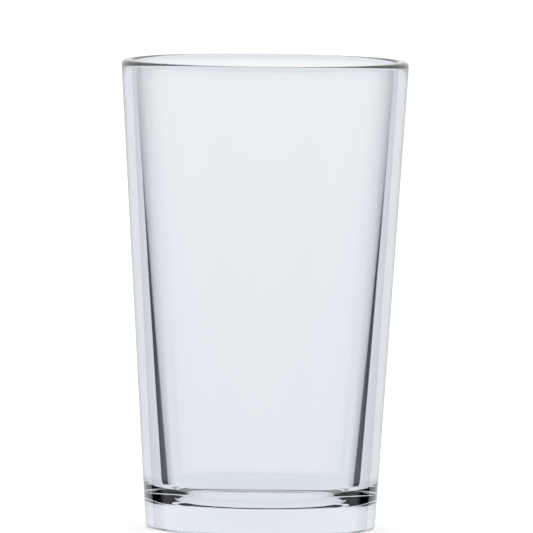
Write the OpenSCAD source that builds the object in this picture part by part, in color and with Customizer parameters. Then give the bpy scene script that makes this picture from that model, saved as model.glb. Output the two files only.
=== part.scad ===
// Pint glass: a plain round tumbler with straight tapered sides, a thick wall and a heavy
// base. It is one casting, drawn as the four zones that a glassmaker names: base, heel,
// sidewall and rim. Each zone is a band of the same turned section, so the zones meet face
// to face. Millimetres, +Z up, with the origin on the axis at the level it stands on.

/* [Outside] */
// Height from the table to the brim
glass_h = 149.5; // [120:0.5:180]
// Outer diameter at the brim, with the straight side run up to it
brim_d = 92; // [86:0.5:98]
// Outer diameter at the table, with the straight side run down to it
foot_d = 73.2; // [66:0.2:80]

/* [Wall] */
// Thickness of the wall at the brim, measured level
brim_wall = 3.7; // [3.4:0.1:5]
// Thickness of the wall at the top of the heel, measured level
heel_wall = 7.55; // [5.2:0.05:8.5]
// Rounding of the lip on the outside
lip_outer_r = 1.6; // [0.8:0.1:2]
// Rounding of the lip on the inside
lip_inner_r = 1.2; // [0.6:0.1:1.4]
// Height of the rim zone
rim_h = 6; // [4:0.5:12]

/* [Base] */
// Height of the heel zone
heel_h = 18; // [17.5:0.5:24]
// Height of the inside floor above the table
floor_h = 8; // [7:0.1:9.5]
// Rounding of the inside corner, between floor and wall
corner_r = 8; // [4:0.1:8]
// Rounding of the outer edge of the foot
foot_edge_r = 1.3; // [0.6:0.1:2]
// Diameter of the push-up, the shallow hollow under the base
push_up_d = 61; // [56:0.5:64]
// Depth of the push-up at its middle
push_up_depth = 1; // [0.6:0.1:2]

/* [Hidden] */
$fn = 180;
// Sides of the push-up's large circle, which only needs to be smooth near its top
push_up_fn = 1440;
// How far cutting shapes run past what they cut
overrun = 1;
glass_tint = [0.9, 0.93, 0.95, 0.45];

brim_r = brim_d / 2;
foot_r = foot_d / 2;
// Lean of the outside from upright, and the radius of the outside at a height
outer_lean = atan((brim_r - foot_r) / glass_h);
function outside_at(z) = foot_r + z * tan(outer_lean);

// Lean of the inside from upright, and the radius of the inside at a height
bore_brim_r = brim_r - brim_wall;
bore_heel_r = outside_at(heel_h) - heel_wall;
inner_lean = atan((bore_brim_r - bore_heel_r) / (glass_h - heel_h));
function inside_at(z) = bore_heel_r + (z - heel_h) * tan(inner_lean);

// Centres of the roundings, each one radius away from the two lines that it joins
lip_outer_c = [
    outside_at(glass_h - lip_outer_r) - lip_outer_r / cos(outer_lean),
    glass_h - lip_outer_r
];
lip_inner_c = [
    inside_at(glass_h - lip_inner_r) + lip_inner_r / cos(inner_lean),
    glass_h - lip_inner_r
];
foot_edge_c = [
    outside_at(foot_edge_r) - foot_edge_r / cos(outer_lean),
    foot_edge_r
];
corner_c = [
    inside_at(floor_h + corner_r) - corner_r / cos(inner_lean),
    floor_h + corner_r
];

// Radius of the push-up's spherical roof, from its width and depth
push_up_r = (pow(push_up_d / 2, 2) + pow(push_up_depth, 2)) / (2 * push_up_depth);

// Where a rounding meets the straight outside or the straight inside
function on_outside(c, r) = c + r * [cos(outer_lean), -sin(outer_lean)];
function on_inside(c, r) = c + r * [cos(inner_lean), -sin(inner_lean)];

// Section of the whole outside, filled to the axis, with the foot and lip edges rounded
module outside_section() {
    polygon([
        [0, 0],
        [foot_edge_c.x, 0],
        foot_edge_c,
        on_outside(foot_edge_c, foot_edge_r),
        on_outside(lip_outer_c, lip_outer_r),
        lip_outer_c,
        [lip_outer_c.x, glass_h],
        [0, glass_h]
    ]);
    translate(foot_edge_c) circle(r = foot_edge_r);
    translate(lip_outer_c) circle(r = lip_outer_r);
}

// Section of the drinking space up to the brim, with its floor corner rounded
module hollow_section() {
    polygon([
        [0, floor_h],
        [corner_c.x, floor_h],
        corner_c,
        on_inside(corner_c, corner_r),
        [inside_at(glass_h + overrun), glass_h + overrun],
        [0, glass_h + overrun]
    ]);
    translate(corner_c) circle(r = corner_r);
}

// Sliver that the inside lip rounding takes off the square inner edge of the brim
module lip_sliver() {
    wall_point = lip_inner_c - lip_inner_r * [cos(inner_lean), -sin(inner_lean)];
    difference() {
        polygon([
            wall_point,
            lip_inner_c,
            [lip_inner_c.x, glass_h],
            [lip_inner_c.x, glass_h + overrun],
            [wall_point.x - overrun, glass_h + overrun],
            [wall_point.x - overrun, wall_point.y]
        ]);
        translate(lip_inner_c) circle(r = lip_inner_r);
    }
}

// Section of the glass from the axis outwards
module glass_section() {
    difference() {
        outside_section();
        hollow_section();
        lip_sliver();
        translate([0, push_up_depth - push_up_r]) circle(r = push_up_r, $fn = push_up_fn);
    }
}

// Region of the base: above the push-up, inside a cone from its edge to the inside corner
module base_region() {
    polygon([
        [0, -overrun],
        [push_up_d / 2, -overrun],
        [push_up_d / 2, 0],
        [corner_c.x, floor_h],
        [corner_c.x, floor_h + overrun],
        [0, floor_h + overrun]
    ]);
}

// Region between two heights, from the axis to beyond the outside
module level_region(z0, z1) {
    translate([0, z0]) square([brim_r + overrun, z1 - z0]);
}

// Turns the part of the section that lies in the region given as its child
module zone() {
    color(glass_tint)
        rotate_extrude()
            intersection() {
                glass_section();
                children();
            }
}

// Bottom plate over the push-up, out to where the inside corner starts to rise
module base() {
    zone() base_region();
}

// Thick corner ring that the glass stands on
module heel() {
    zone() difference() {
        level_region(-overrun, heel_h);
        base_region();
    }
}

// Straight tapered wall
module sidewall() {
    zone() level_region(heel_h, glass_h - rim_h);
}

// Top band with the rounded lip
module rim() {
    zone() level_region(glass_h - rim_h, glass_h + overrun);
}

base();
heel();
sidewall();
rim();
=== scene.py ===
"""Pint glass: a clear pressed tumbler with straight tapered sides and a heavy base.

The glass is one casting, so it is one piece: a section turned about the upright axis by
a Geometry Nodes tree, whose inputs are the glass's sizes. It stands on a plain white
table in a white light tent. Lengths are in metres and +Z is up.
"""

import logging
import math
from collections.abc import Iterable, Mapping
from dataclasses import dataclass, field
from typing import Any, Union

import bmesh
import bpy
from mathutils import Matrix, Vector


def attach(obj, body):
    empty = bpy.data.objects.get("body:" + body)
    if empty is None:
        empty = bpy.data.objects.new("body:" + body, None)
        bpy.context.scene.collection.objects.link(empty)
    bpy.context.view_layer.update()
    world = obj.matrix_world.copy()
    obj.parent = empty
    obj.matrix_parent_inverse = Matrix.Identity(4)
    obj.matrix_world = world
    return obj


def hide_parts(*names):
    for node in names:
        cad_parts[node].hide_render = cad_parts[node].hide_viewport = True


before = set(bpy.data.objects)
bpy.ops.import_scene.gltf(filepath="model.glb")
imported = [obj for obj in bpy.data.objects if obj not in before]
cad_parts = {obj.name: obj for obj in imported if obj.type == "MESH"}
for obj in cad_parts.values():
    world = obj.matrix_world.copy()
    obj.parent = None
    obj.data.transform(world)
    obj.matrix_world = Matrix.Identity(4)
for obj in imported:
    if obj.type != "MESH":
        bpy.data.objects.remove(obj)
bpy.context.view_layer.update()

LOG = logging.getLogger("pint_glass")
MM = 0.001


# ---------------------------------------------------------------------------
# Node trees
# ---------------------------------------------------------------------------


class Term:
    """A node's output in an expression: Python's operators on it add Math nodes."""

    def __init__(self, kit: "NodeKit", socket: bpy.types.NodeSocket) -> None:
        """Keep the output and the tree that it belongs to."""
        self.kit = kit
        self.socket = socket

    def __add__(self, other: "Number") -> "Term":
        """Return self + other."""
        return self.kit.math("ADD", self, other)

    def __radd__(self, other: "Number") -> "Term":
        """Return other + self."""
        return self.kit.math("ADD", other, self)

    def __sub__(self, other: "Number") -> "Term":
        """Return self - other."""
        return self.kit.math("SUBTRACT", self, other)

    def __rsub__(self, other: "Number") -> "Term":
        """Return other - self."""
        return self.kit.math("SUBTRACT", other, self)

    def __mul__(self, other: "Number") -> "Term":
        """Return self * other."""
        return self.kit.math("MULTIPLY", self, other)

    def __rmul__(self, other: "Number") -> "Term":
        """Return other * self."""
        return self.kit.math("MULTIPLY", other, self)

    def __truediv__(self, other: "Number") -> "Term":
        """Return self / other."""
        return self.kit.math("DIVIDE", self, other)

    def __neg__(self) -> "Term":
        """Return -self."""
        return self.kit.math("MULTIPLY", self, -1.0)


Number = Union[Term, float, int]


class NodeKit:
    """Adds nodes to one shader or geometry tree."""

    def __init__(self, tree: bpy.types.NodeTree) -> None:
        """Keep the tree that the nodes go into."""
        self.tree = tree

    @staticmethod
    def _socket(sockets: Iterable[bpy.types.NodeSocket], key: str | int) -> bpy.types.NodeSocket:
        """Return the socket with this index, identifier or name."""
        listed = list(sockets)
        if isinstance(key, int):
            return listed[key]
        for socket in listed:
            if socket.identifier == key:
                return socket
        return next(socket for socket in listed if socket.name == key)

    def add(
        self,
        kind: str,
        settings: Mapping[str, Any] | None = None,
        inputs: Mapping[str | int, Any] | None = None,
    ) -> bpy.types.Node:
        """Add one node.

        Args:
            kind: the node's type, such as "ShaderNodeMath".
            settings: the node's own properties, set before its sockets.
            inputs: a value or a Term for each input, by index, identifier or name.

        Returns:
            The node.
        """
        made = self.tree.nodes.new(kind)
        for name, value in (settings or {}).items():
            setattr(made, name, value)
        for key, value in (inputs or {}).items():
            socket = self._socket(made.inputs, key)
            if isinstance(value, Term):
                self.tree.links.new(value.socket, socket)
            else:
                socket.default_value = value
        return made

    def node(
        self,
        kind: str,
        settings: Mapping[str, Any] | None = None,
        inputs: Mapping[str | int, Any] | None = None,
        output: str | int = 0,
    ) -> Term:
        """Add one node as add() does, and return the chosen output."""
        made = self.add(kind, settings, inputs)
        return Term(self, self._socket(made.outputs, output))

    def also(self, term: Term, output: str | int) -> Term:
        """Return another output of the node that a Term comes from."""
        return Term(self, self._socket(term.socket.node.outputs, output))

    def math(self, operation: str, *values: Number) -> Term:
        """Return a Math node's result for one to three values."""
        return self.node("ShaderNodeMath", {"operation": operation}, dict(enumerate(values)))

    def sine(self, value: Number) -> Term:
        """Return the sine of an angle in radians."""
        return self.math("SINE", value)

    def cosine(self, value: Number) -> Term:
        """Return the cosine of an angle in radians."""
        return self.math("COSINE", value)

    def ramp(self, value: Number, low: float, high: float) -> Term:
        """Return 0 below low and 1 above high, with a soft fade between."""
        return self.node(
            "ShaderNodeMapRange",
            {"interpolation_type": "SMOOTHSTEP"},
            {"Value": value, "From Min": low, "From Max": high},
        )

    def split(self, vector: Term) -> tuple[Term, Term, Term]:
        """Return a vector's three parts."""
        x = self.node("ShaderNodeSeparateXYZ", inputs={"Vector": vector})
        return x, self.also(x, "Y"), self.also(x, "Z")

    def vector(self, x: Number, y: Number, z: Number) -> Term:
        """Return a vector made of three parts."""
        return self.node("ShaderNodeCombineXYZ", inputs={"X": x, "Y": y, "Z": z})

    def blend(self, factor: Number, first: Any, second: Any) -> Term:
        """Return a mix of two colours."""
        return self.node(
            "ShaderNodeMix",
            {"data_type": "RGBA"},
            {"Factor_Float": factor, "A_Color": first, "B_Color": second},
            "Result_Color",
        )


# ---------------------------------------------------------------------------
# Finishes
# ---------------------------------------------------------------------------


@dataclass(frozen=True)
class PressedGlass:
    """Clear soda-lime glass with a fire-polished skin, faintly blue where it is thick."""

    tint: tuple[float, float, float, float] = (0.965, 0.978, 0.988, 1.0)
    depth_tint: tuple[float, float, float, float] = (0.72, 0.77, 0.86, 1.0)
    depth_density: float = 10.0
    refractive_index: float = 1.52
    roughness: float = 0.0

    def material(self) -> bpy.types.Material:
        """Return the glass material."""
        made = bpy.data.materials.new("pressed_glass")
        made.use_nodes = True
        made.node_tree.nodes.clear()
        kit = NodeKit(made.node_tree)
        shader = kit.node(
            "ShaderNodeBsdfPrincipled",
            inputs={
                "Base Color": self.tint,
                "Roughness": self.roughness,
                "IOR": self.refractive_index,
                "Transmission Weight": 1.0,
            },
        )
        depth = kit.node(
            "ShaderNodeVolumeAbsorption",
            inputs={"Color": self.depth_tint, "Density": self.depth_density},
        )
        kit.add("ShaderNodeOutputMaterial", inputs={"Surface": shader, "Volume": depth})
        return made


@dataclass(frozen=True)
class TableTop:
    """White table that glows a little, as a translucent table lit from below does."""

    colour: tuple[float, float, float, float] = (0.9, 0.9, 0.9, 1.0)
    glow_colour: tuple[float, float, float, float] = (1.0, 1.0, 1.0, 1.0)
    glow: float = 0.34
    roughness: float = 1.0

    def material(self) -> bpy.types.Material:
        """Return the table's material."""
        made = bpy.data.materials.new("white_table")
        made.use_nodes = True
        made.node_tree.nodes.clear()
        kit = NodeKit(made.node_tree)
        shader = kit.node(
            "ShaderNodeBsdfPrincipled",
            inputs={
                "Base Color": self.colour,
                "Roughness": self.roughness,
                "Emission Color": self.glow_colour,
                "Emission Strength": self.glow,
            },
        )
        kit.add("ShaderNodeOutputMaterial", inputs={"Surface": shader})
        return made


# ---------------------------------------------------------------------------
# The glass
# ---------------------------------------------------------------------------


class TurnedGlassTree:
    """Geometry Nodes tree that turns the glass's section about the upright axis.

    The section runs from the middle of the underside outwards, up the outside, over the
    lip, down the inside and back to the axis, in straight and round stretches. Each is a
    band of quads, and the bands are welded edge to edge into one closed skin.
    """

    SIZES = (
        "Height",
        "Brim Radius",
        "Foot Radius",
        "Brim Wall",
        "Heel Wall",
        "Heel Height",
        "Outer Lip Radius",
        "Inner Lip Radius",
        "Floor Height",
        "Corner Radius",
        "Foot Edge Radius",
        "Push-up Radius",
        "Push-up Depth",
        "Waviness",
    )
    WELD = 2e-6

    # Rows of quads along each stretch of the section
    ROOF_ROWS = 10
    FLAT_ROWS = 2
    EDGE_ROWS = 8
    OUTSIDE_ROWS = 40
    LIP_ROWS = 10
    INSIDE_ROWS = 90
    CORNER_ROWS = 14
    FLOOR_ROWS = 8

    # The plunger's marks: how tight they are around the glass and up it, and their texture
    MARKS_AROUND = 1.6
    MARKS_PER_METRE = 14.0
    MARKS_DETAIL = 3.0
    MARKS_ROUGHNESS = 0.45
    # How quickly the marks come in from either end of the wall
    MARKS_FADE = 12.0

    def __init__(self) -> None:
        """Build the tree."""
        self.tree = bpy.data.node_groups.new("turned_glass", "GeometryNodeTree")
        self.kit = NodeKit(self.tree)
        self.identifiers: dict[str, str] = {}
        for name in self.SIZES:
            self._input(name, "NodeSocketFloat")
        self._input("Sides", "NodeSocketInt")
        self._input("Seed", "NodeSocketFloat")
        self._input("Material", "NodeSocketMaterial")
        self.tree.interface.new_socket("Geometry", in_out="OUTPUT", socket_type="NodeSocketGeometry")
        self.inputs = self.tree.nodes.new("NodeGroupInput")
        x, y, _ = self.kit.split(self.kit.node("GeometryNodeInputPosition"))
        self.turn = (x + 0.5) * math.tau
        self.along = y + 0.5
        self._connect()

    def _input(self, name: str, kind: str) -> None:
        """Add one named input and note its identifier."""
        socket = self.tree.interface.new_socket(name, in_out="INPUT", socket_type=kind)
        self.identifiers[name] = socket.identifier

    def _get(self, name: str) -> Term:
        """Return one of the tree's inputs."""
        return Term(self.kit, self.inputs.outputs[name])

    def _band(self, radius: Number, height: Number, rows: int) -> Term:
        """Return a band of quads turned about the axis.

        Args:
            radius: distance from the axis, as a function of the place along the band.
            height: height above the table, likewise.
            rows: rows of quads along the band.

        Returns:
            The band's geometry.
        """
        grid = self.kit.node(
            "GeometryNodeMeshGrid",
            inputs={
                "Size X": 1.0,
                "Size Y": 1.0,
                "Vertices X": self._get("Sides") + 1,
                "Vertices Y": rows + 1,
            },
        )
        place = self.kit.vector(
            radius * self.kit.cosine(self.turn), radius * self.kit.sine(self.turn), height
        )
        return self.kit.node("GeometryNodeSetPosition", inputs={"Geometry": grid, "Position": place})

    def _line(self, start: tuple[Number, Number], end: tuple[Number, Number], rows: int) -> Term:
        """Return the band turned from a straight stretch between two points."""
        radius = start[0] + (end[0] - start[0]) * self.along
        height = start[1] + (end[1] - start[1]) * self.along
        return self._band(radius, height, rows)

    def _arc(
        self,
        centre: tuple[Number, Number],
        size: Number,
        start: Number,
        end: Number,
        rows: int,
    ) -> Term:
        """Return the band turned from a round stretch between two angles in radians."""
        angle = start + (end - start) * self.along
        radius = centre[0] + size * self.kit.cosine(angle)
        height = centre[1] + size * self.kit.sine(angle)
        return self._band(radius, height, rows)

    def _point(self, centre: tuple[Number, Number], size: Number, angle: Number) -> tuple[Term, Term]:
        """Return the point of a circle at an angle in radians."""
        return centre[0] + size * self.kit.cosine(angle), centre[1] + size * self.kit.sine(angle)

    def _pressing(self, height: Number) -> Term:
        """Return how far the plunger's marks move the inside wall, from -1 to 1."""
        around = self.kit.vector(
            self.kit.cosine(self.turn) * self.MARKS_AROUND,
            self.kit.sine(self.turn) * self.MARKS_AROUND,
            height * self.MARKS_PER_METRE,
        )
        noise = self.kit.node(
            "ShaderNodeTexNoise",
            {"noise_dimensions": "4D"},
            {
                "Vector": around,
                "W": self._get("Seed"),
                "Scale": 1.0,
                "Detail": self.MARKS_DETAIL,
                "Roughness": self.MARKS_ROUGHNESS,
            },
            "Fac",
        )
        fade = self.kit.math(
            "MINIMUM", self.along * (1.0 - self.along) * self.MARKS_FADE, 1.0
        )
        return (noise - 0.5) * 2.0 * fade

    def _connect(self) -> None:
        """Add every band, weld them and send them out with their material."""
        kit, get = self.kit, self._get
        height, brim, foot = get("Height"), get("Brim Radius"), get("Foot Radius")
        up, down = math.pi / 2, -math.pi / 2

        outer_slope = (brim - foot) / height
        outer_lean = kit.math("ARCTANGENT", outer_slope)
        bore_top = brim - get("Brim Wall")
        bore_heel = foot + outer_slope * get("Heel Height") - get("Heel Wall")
        inner_slope = (bore_top - bore_heel) / (height - get("Heel Height"))
        inner_lean = kit.math("ARCTANGENT", inner_slope)

        def outside_at(level: Number) -> Term:
            """Return the radius of the straight outside at a level."""
            return foot + outer_slope * level

        def inside_at(level: Number) -> Term:
            """Return the radius of the straight inside at a level."""
            return bore_heel + inner_slope * (level - get("Heel Height"))

        outer_lip, inner_lip = get("Outer Lip Radius"), get("Inner Lip Radius")
        corner, edge = get("Corner Radius"), get("Foot Edge Radius")
        floor, push_up, depth = get("Floor Height"), get("Push-up Radius"), get("Push-up Depth")

        lip_level = height - outer_lip
        outer_lip_c = (outside_at(lip_level) - outer_lip / kit.cosine(outer_lean), lip_level)
        bead_level = height - inner_lip
        inner_lip_c = (inside_at(bead_level) + inner_lip / kit.cosine(inner_lean), bead_level)
        edge_c = (outside_at(edge) - edge / kit.cosine(outer_lean), edge)
        corner_level = floor + corner
        corner_c = (inside_at(corner_level) - corner / kit.cosine(inner_lean), corner_level)

        roof = (push_up * push_up + depth * depth) / (2.0 * depth)
        roof_half = kit.math("ARCSINE", push_up / roof)

        wall_top = self._point(inner_lip_c, inner_lip, math.pi - inner_lean)
        wall_foot = self._point(corner_c, corner, -inner_lean)
        wall_radius = wall_top[0] + (wall_foot[0] - wall_top[0]) * self.along
        wall_height = wall_top[1] + (wall_foot[1] - wall_top[1]) * self.along
        wavy_radius = wall_radius + self._pressing(wall_height) * get("Waviness")

        bands = [
            self._arc((0.0, depth - roof), roof, up, up - roof_half, self.ROOF_ROWS),
            self._line((push_up, 0.0), (edge_c[0], 0.0), self.FLAT_ROWS),
            self._arc(edge_c, edge, down, -outer_lean, self.EDGE_ROWS),
            self._line(
                self._point(edge_c, edge, -outer_lean),
                self._point(outer_lip_c, outer_lip, -outer_lean),
                self.OUTSIDE_ROWS,
            ),
            self._arc(outer_lip_c, outer_lip, -outer_lean, up, self.LIP_ROWS),
            self._line((outer_lip_c[0], height), (inner_lip_c[0], height), self.FLAT_ROWS),
            self._arc(inner_lip_c, inner_lip, up, math.pi - inner_lean, self.LIP_ROWS),
            self._band(wavy_radius, wall_height, self.INSIDE_ROWS),
            self._arc(corner_c, corner, -inner_lean, down, self.CORNER_ROWS),
            self._line((corner_c[0], floor), (0.0, floor), self.FLOOR_ROWS),
        ]
        joined = self.tree.nodes.new("GeometryNodeJoinGeometry")
        for band in reversed(bands):
            self.tree.links.new(band.socket, joined.inputs[0])
        welded = kit.node(
            "GeometryNodeMergeByDistance",
            inputs={"Geometry": Term(kit, joined.outputs[0]), "Distance": self.WELD},
        )
        smooth = kit.node("GeometryNodeSetShadeSmooth", inputs={"Geometry": welded})
        whole = kit.node("GeometryNodeRealizeInstances", inputs={"Geometry": smooth})
        dressed = kit.node(
            "GeometryNodeSetMaterial", inputs={"Geometry": whole, "Material": get("Material")}
        )
        out = self.tree.nodes.new("NodeGroupOutput")
        self.tree.links.new(dressed.socket, out.inputs[0])


@dataclass
class Tumbler:
    """The glass, with the same driving sizes as the CAD model."""

    height: float = 149.5 * MM
    brim_radius: float = 46 * MM
    foot_radius: float = 36.6 * MM
    brim_wall: float = 3.7 * MM
    heel_wall: float = 7.55 * MM
    heel_height: float = 18 * MM
    outer_lip_radius: float = 1.6 * MM
    inner_lip_radius: float = 1.2 * MM
    floor_height: float = 8 * MM
    corner_radius: float = 8 * MM
    foot_edge_radius: float = 1.3 * MM
    push_up_radius: float = 30.5 * MM
    push_up_depth: float = 1.0 * MM
    waviness: float = 0.02 * MM
    sides: int = 288
    seed: float = 3.0
    finish: PressedGlass = field(default_factory=PressedGlass)

    def build(self) -> bpy.types.Object:
        """Build the glass and tie it to the frame.

        Returns:
            The glass, a plain mesh at the origin.
        """
        turned = TurnedGlassTree()
        values: dict[str, Any] = {
            "Height": self.height,
            "Brim Radius": self.brim_radius,
            "Foot Radius": self.foot_radius,
            "Brim Wall": self.brim_wall,
            "Heel Wall": self.heel_wall,
            "Heel Height": self.heel_height,
            "Outer Lip Radius": self.outer_lip_radius,
            "Inner Lip Radius": self.inner_lip_radius,
            "Floor Height": self.floor_height,
            "Corner Radius": self.corner_radius,
            "Foot Edge Radius": self.foot_edge_radius,
            "Push-up Radius": self.push_up_radius,
            "Push-up Depth": self.push_up_depth,
            "Waviness": self.waviness,
            "Sides": self.sides,
            "Seed": self.seed,
            "Material": self.finish.material(),
        }
        mesh = evaluate_tree(turned.tree, turned.identifiers, values, "tumbler")
        piece = bpy.data.objects.new("tumbler", mesh)
        bpy.context.scene.collection.objects.link(piece)
        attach(piece, "root")
        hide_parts("base", "heel", "sidewall", "rim")
        return piece


def evaluate_tree(
    tree: bpy.types.NodeTree,
    identifiers: Mapping[str, str],
    values: Mapping[str, Any],
    name: str,
) -> bpy.types.Mesh:
    """Run a geometry tree once and return its result as a plain mesh.

    Args:
        tree: the geometry tree.
        identifiers: each input's identifier, by name.
        values: each input's value, by name.
        name: the mesh's name.

    Returns:
        The finished mesh, with no modifier left behind.
    """
    carrier = bpy.data.objects.new(name + "_carrier", bpy.data.meshes.new(name + "_carrier"))
    bpy.context.scene.collection.objects.link(carrier)
    modifier = carrier.modifiers.new("turn", "NODES")
    modifier.node_group = tree
    for key, value in values.items():
        modifier[identifiers[key]] = value
    carrier.update_tag()
    graph = bpy.context.evaluated_depsgraph_get()
    mesh = bpy.data.meshes.new_from_object(carrier.evaluated_get(graph), depsgraph=graph)
    mesh.name = name
    blank = carrier.data
    carrier.modifiers.clear()
    bpy.data.objects.remove(carrier)
    bpy.data.meshes.remove(blank)
    bpy.data.node_groups.remove(tree)
    return mesh


# ---------------------------------------------------------------------------
# The studio
# ---------------------------------------------------------------------------


@dataclass(frozen=True)
class Tent:
    """White light tent with a bright back, dark shades beside it and a dimmer front.

    The shades draw the dark lines that show where a clear glass's walls are. Angles are
    in degrees, seen from the glass: a bearing is 0 straight behind it and 180 in front,
    and a height is 0 when level. A pair is where a change starts and where it ends.
    """

    strength: float = 1.0
    light: tuple[float, float, float, float] = (1.0, 1.0, 1.0, 1.0)
    low_light: tuple[float, float, float, float] = (0.79, 0.81, 0.85, 1.0)
    shade: tuple[float, float, float, float] = (0.006, 0.011, 0.019, 1.0)
    side_shade_start: tuple[float, float] = (42.5, 44.5)
    side_shade_end: tuple[float, float] = (60.0, 72.0)
    side_shade_foot: tuple[float, float] = (-20.0, -17.0)
    side_shade_head: tuple[float, float] = (-3.0, -1.0)
    front_light: float = 0.80
    front_start: tuple[float, float] = (105.0, 140.0)
    front_foot: tuple[float, float] = (-14.0, -12.0)
    low_light_span: tuple[float, float] = (-9.0, -2.5)

    @staticmethod
    def _from(kit: NodeKit, height: Term, span: tuple[float, float]) -> Term:
        """Return 0 below a span of heights and 1 above it."""
        low, high = (math.sin(math.radians(edge)) for edge in span)
        return kit.ramp(height, low, high)

    @staticmethod
    def _past(kit: NodeKit, bearing: Term, span: tuple[float, float]) -> Term:
        """Return 0 behind a span of bearings and 1 in front of it."""
        return kit.ramp(bearing, math.radians(span[0]), math.radians(span[1]))

    def world(self) -> bpy.types.World:
        """Return the tent as a world, lit by direction alone."""
        made = bpy.data.worlds.new("light_tent")
        made.use_nodes = True
        made.node_tree.nodes.clear()
        kit = NodeKit(made.node_tree)
        x, y, height = kit.split(kit.node("ShaderNodeTexCoord", output="Generated"))
        bearing = kit.math("ARCTAN2", kit.math("ABSOLUTE", x), y)

        side = self._past(kit, bearing, self.side_shade_start)
        side = side * (1.0 - self._past(kit, bearing, self.side_shade_end))
        side = side * self._from(kit, height, self.side_shade_foot)
        side = side * (1.0 - self._from(kit, height, self.side_shade_head))

        front = self._past(kit, bearing, self.front_start) * self._from(kit, height, self.front_foot)
        lift = self._from(kit, height, self.low_light_span)
        colour = kit.blend(lift, self.low_light, self.light)
        light = kit.node(
            "ShaderNodeBackground",
            inputs={
                "Color": kit.blend(side, colour, self.shade),
                "Strength": (1.0 - front * (1.0 - self.front_light)) * self.strength,
            },
        )
        kit.add("ShaderNodeOutputWorld", inputs={"Surface": light})
        return made


@dataclass
class Studio:
    """White table, light tent and the camera."""

    table_radius: float = 8.0
    table_sides: int = 96
    tent: Tent = field(default_factory=Tent)
    view_distance: float = 6.0
    view_elevation: float = math.radians(3.41)
    view_roll: float = math.radians(0.62)
    aim_side: float = 1.1 * MM
    aim_height: float = 83.6 * MM
    frame_width: float = 170.1 * MM
    view_reach: float = 100.0
    sensor_width_mm: float = 36.0

    def table(self) -> bpy.types.Object:
        """Return the table, a flat disc that the glass neither mirrors nor shows through."""
        shape = bmesh.new()
        bmesh.ops.create_circle(shape, cap_ends=True, radius=self.table_radius, segments=self.table_sides)
        mesh = bpy.data.meshes.new("table")
        shape.to_mesh(mesh)
        shape.free()
        mesh.materials.append(TableTop().material())
        made = bpy.data.objects.new("table", mesh)
        made.visible_transmission = False
        made.visible_glossy = False
        bpy.context.scene.collection.objects.link(made)
        return made

    def camera(self) -> bpy.types.Object:
        """Return the camera, a long lens a few metres away and a little above."""
        data = bpy.data.cameras.new("long_lens")
        data.sensor_width = self.sensor_width_mm
        data.lens = data.sensor_width * self.view_distance / self.frame_width
        data.clip_end = self.view_reach
        made = bpy.data.objects.new("long_lens", data)
        bpy.context.scene.collection.objects.link(made)
        aim = Vector((self.aim_side, 0.0, self.aim_height))
        back = Vector((0.0, -math.cos(self.view_elevation), math.sin(self.view_elevation)))
        made.location = aim + back * self.view_distance
        level = (-back).to_track_quat("-Z", "Y")
        made.rotation_mode = "QUATERNION"
        made.rotation_quaternion = level @ Matrix.Rotation(self.view_roll, 3, "Z").to_quaternion()
        bpy.context.scene.camera = made
        return made

    def build(self) -> None:
        """Set up the table, the light tent and the camera."""
        self.table()
        bpy.context.scene.world = self.tent.world()
        self.camera()
        bpy.context.scene.view_settings.view_transform = "Standard"
        LOG.info("studio ready")


def main() -> None:
    """Build the glass and the studio."""
    logging.basicConfig(level=logging.INFO, format="%(name)s: %(message)s")
    glass = Tumbler().build()
    LOG.info("%s: %d faces", glass.name, len(glass.data.polygons))
    Studio().build()


if __name__ == "__main__":
    main()
